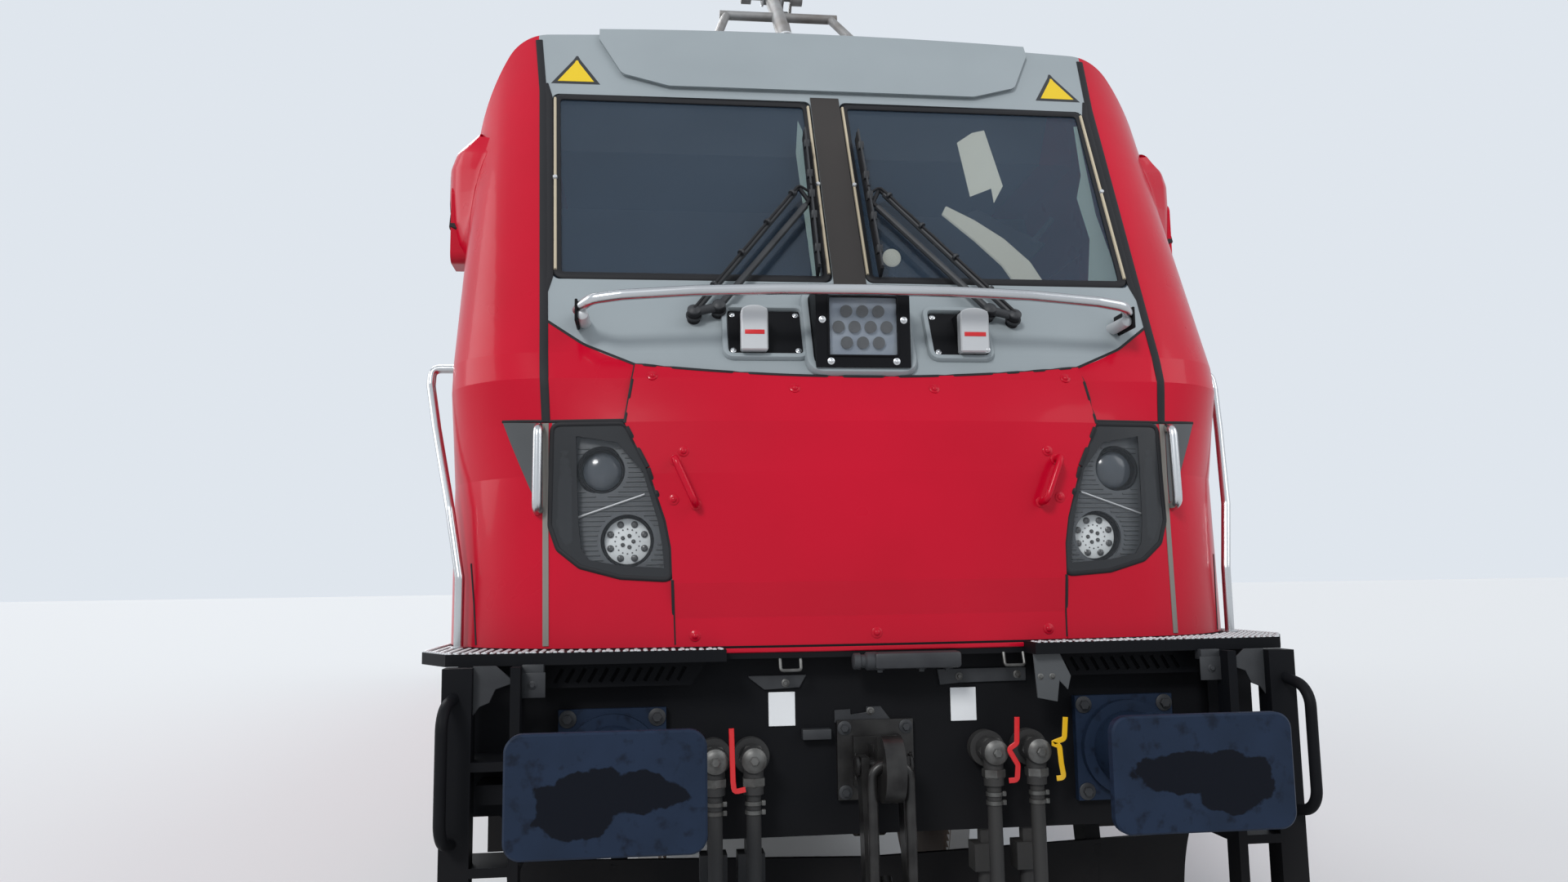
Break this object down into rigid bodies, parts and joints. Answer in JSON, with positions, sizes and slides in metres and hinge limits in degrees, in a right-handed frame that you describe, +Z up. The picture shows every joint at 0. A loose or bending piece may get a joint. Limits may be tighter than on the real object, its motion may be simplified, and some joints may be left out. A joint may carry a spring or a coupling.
{
  "type": "electric locomotive",
  "caption": "Main-line electric locomotive with a cab at each end, two pantographs and two swivelling bogies; it hauls trains on standard-gauge rails.",
  "frame": {"origin": "centre of the bounding box's base: midway between the two buffer planes, on the centreline, level with the tips of the wheel flanges", "axes": "X across the locomotive, Y along it with the pictured cab towards -Y, Z up"},
  "size_m": [3.21, 18.9, 6.4564],
  "materials": {
    "crimson_paint": "gloss crimson paint",
    "grey_paint": "gloss mid-grey paint",
    "roof_paint": "satin grey paint",
    "frame_paint": "satin black paint",
    "bogie_paint": "dark grey paint with brake dust",
    "wheel_steel": "rolled steel with a bright tread",
    "window_glass": "tinted safety glass",
    "clear_cover": "clear polycarbonate lamp cover",
    "cab_plastic": "grained plastic",
    "lamp_plastic": "clear cover over a dark bezel",
    "rail_steel": "brushed stainless tube",
    "hose_rubber": "black rubber hose",
    "pantograph_metal": "weathered aluminium tube"
  },
  "bodies": {
    "carbody": {"main_frame": "frame_paint", "side_sills": "frame_paint", "cross_members": "frame_paint", "side_walls": "crimson_paint", "roof_sections": "roof_paint", "cab_shells": "crimson_paint", "cab_masks": "grey_paint", "nose_hatches": "crimson_paint", "cab_windows": "window_glass", "wipers": "frame_paint", "cab_interiors": "cab_plastic", "headlamps": "lamp_plastic", "lamp_covers": "clear_cover", "end_steps": "frame_paint", "handrails": "rail_steel", "buffers": "frame_paint", "draw_hooks": "frame_paint", "screw_couplings": "frame_paint", "brake_hoses": "hose_rubber", "snow_ploughs": "frame_paint", "transformer": "frame_paint", "roof_gear": "roof_paint", "pantograph_base_front": "roof_paint", "pantograph_base_rear": "roof_paint"},
    "bogie_front": {"bogie_frame_front": "bogie_paint", "springs_front": "bogie_paint", "drive_units_front": "bogie_paint"},
    "wheelset_front_outer": {"wheelset_front_outer": "wheel_steel"},
    "wheelset_front_inner": {"wheelset_front_inner": "wheel_steel"},
    "cab_door_front_left": {"cab_door_front_left": "crimson_paint"},
    "cab_door_front_right": {"cab_door_front_right": "crimson_paint"},
    "pantograph_lower_arm_front": {"pantograph_lower_arm_front": "pantograph_metal"},
    "pantograph_upper_arm_front": {"pantograph_upper_arm_front": "pantograph_metal"},
    "pantograph_control_rod_front": {"pantograph_control_rod_front": "pantograph_metal"},
    "pantograph_head_front": {"pantograph_head_front": "pantograph_metal"},
    "bogie_rear": {"bogie_frame_rear": "bogie_paint", "springs_rear": "bogie_paint", "drive_units_rear": "bogie_paint"},
    "wheelset_rear_outer": {"wheelset_rear_outer": "wheel_steel"},
    "wheelset_rear_inner": {"wheelset_rear_inner": "wheel_steel"},
    "cab_door_rear_left": {"cab_door_rear_left": "crimson_paint"},
    "cab_door_rear_right": {"cab_door_rear_right": "crimson_paint"},
    "pantograph_lower_arm_rear": {"pantograph_lower_arm_rear": "pantograph_metal"},
    "pantograph_upper_arm_rear": {"pantograph_upper_arm_rear": "pantograph_metal"},
    "pantograph_control_rod_rear": {"pantograph_control_rod_rear": "pantograph_metal"},
    "pantograph_head_rear": {"pantograph_head_rear": "pantograph_metal"}
  },
  "joints": [
    {"name": "bogie_front_swivel", "type": "hinge", "parent": "carbody", "child": "bogie_front", "pos_m": [0, -5.22, 0.7], "axis": [0, 0, 1], "range_deg": [-4, 4]},
    {"name": "wheelset_front_outer_turn", "type": "hinge", "parent": "bogie_front", "child": "wheelset_front_outer", "pos_m": [0, -6.52, 0.655], "axis": [1, 0, 0], "continuous": true},
    {"name": "wheelset_front_inner_turn", "type": "hinge", "parent": "bogie_front", "child": "wheelset_front_inner", "pos_m": [0, -3.92, 0.655], "axis": [1, 0, 0], "continuous": true},
    {"name": "cab_door_front_left_open", "type": "hinge", "parent": "carbody", "child": "cab_door_front_left", "pos_m": [-1.4185, -6.646, 2.385], "axis": [0, 0, 1], "range_deg": [0, 90]},
    {"name": "cab_door_front_right_open", "type": "hinge", "parent": "carbody", "child": "cab_door_front_right", "pos_m": [1.4185, -6.646, 2.385], "axis": [0, 0, -1], "range_deg": [0, 90]},
    {"name": "pantograph_front_lift", "type": "hinge", "parent": "carbody", "child": "pantograph_lower_arm_front", "pos_m": [0, -7.2, 4.3], "axis": [1, 0, 0], "range_deg": [-39, 8]},
    {"name": "pantograph_front_knee", "type": "hinge", "parent": "pantograph_lower_arm_front", "child": "pantograph_upper_arm_front", "pos_m": [0, -6.12244, 5.27024], "axis": [1, 0, 0], "range_deg": [-14.47, 70.35]},
    {"name": "pantograph_front_head_level", "type": "hinge", "parent": "pantograph_upper_arm_front", "child": "pantograph_head_front", "pos_m": [0, -7.35062, 6.32664], "axis": [1, 0, 0], "range_deg": [-31.35, 6.47]},
    {"name": "pantograph_front_rod", "type": "hinge", "parent": "carbody", "child": "pantograph_control_rod_front", "pos_m": [0, -6.96, 4.2], "axis": [1, 0, 0], "range_deg": [-40.92, 8.43]},
    {"name": "bogie_rear_swivel", "type": "hinge", "parent": "carbody", "child": "bogie_rear", "pos_m": [0, 5.22, 0.7], "axis": [0, 0, 1], "range_deg": [-4, 4]},
    {"name": "wheelset_rear_outer_turn", "type": "hinge", "parent": "bogie_rear", "child": "wheelset_rear_outer", "pos_m": [0, 6.52, 0.655], "axis": [1, 0, 0], "continuous": true},
    {"name": "wheelset_rear_inner_turn", "type": "hinge", "parent": "bogie_rear", "child": "wheelset_rear_inner", "pos_m": [0, 3.92, 0.655], "axis": [1, 0, 0], "continuous": true},
    {"name": "cab_door_rear_left_open", "type": "hinge", "parent": "carbody", "child": "cab_door_rear_left", "pos_m": [1.4185, 6.646, 2.385], "axis": [0, 0, 1], "range_deg": [0, 90]},
    {"name": "cab_door_rear_right_open", "type": "hinge", "parent": "carbody", "child": "cab_door_rear_right", "pos_m": [-1.4185, 6.646, 2.385], "axis": [0, 0, -1], "range_deg": [0, 90]},
    {"name": "pantograph_rear_lift", "type": "hinge", "parent": "carbody", "child": "pantograph_lower_arm_rear", "pos_m": [0, 7.2, 4.3], "axis": [-1, 0, 0], "range_deg": [0, 47]},
    {"name": "pantograph_rear_knee", "type": "hinge", "parent": "pantograph_lower_arm_rear", "child": "pantograph_upper_arm_rear", "pos_m": [0, 5.75199, 4.37589], "axis": [-1, 0, 0], "range_deg": [-84.77, 0.05]},
    {"name": "pantograph_rear_head_level", "type": "hinge", "parent": "pantograph_upper_arm_rear", "child": "pantograph_head_rear", "pos_m": [0, 7.35023, 4.64048], "axis": [-1, 0, 0], "range_deg": [-0.05, 37.77]},
    {"name": "pantograph_rear_rod", "type": "hinge", "parent": "carbody", "child": "pantograph_control_rod_rear", "pos_m": [0, 6.96, 4.2], "axis": [-1, 0, 0], "range_deg": [-0.05, 49.3]}
  ],
  "couplings": [
    {"joint": "pantograph_front_knee", "follows": "pantograph_front_lift", "ratio": -1.8026},
    {"joint": "pantograph_front_head_level", "follows": "pantograph_front_lift", "ratio": 0.80256},
    {"joint": "pantograph_front_rod", "follows": "pantograph_front_lift", "ratio": 1.0479},
    {"joint": "pantograph_rear_knee", "follows": "pantograph_rear_lift", "ratio": -1.8026},
    {"joint": "pantograph_rear_head_level", "follows": "pantograph_rear_lift", "ratio": 0.80256},
    {"joint": "pantograph_rear_rod", "follows": "pantograph_rear_lift", "ratio": 1.0479}
  ]
}
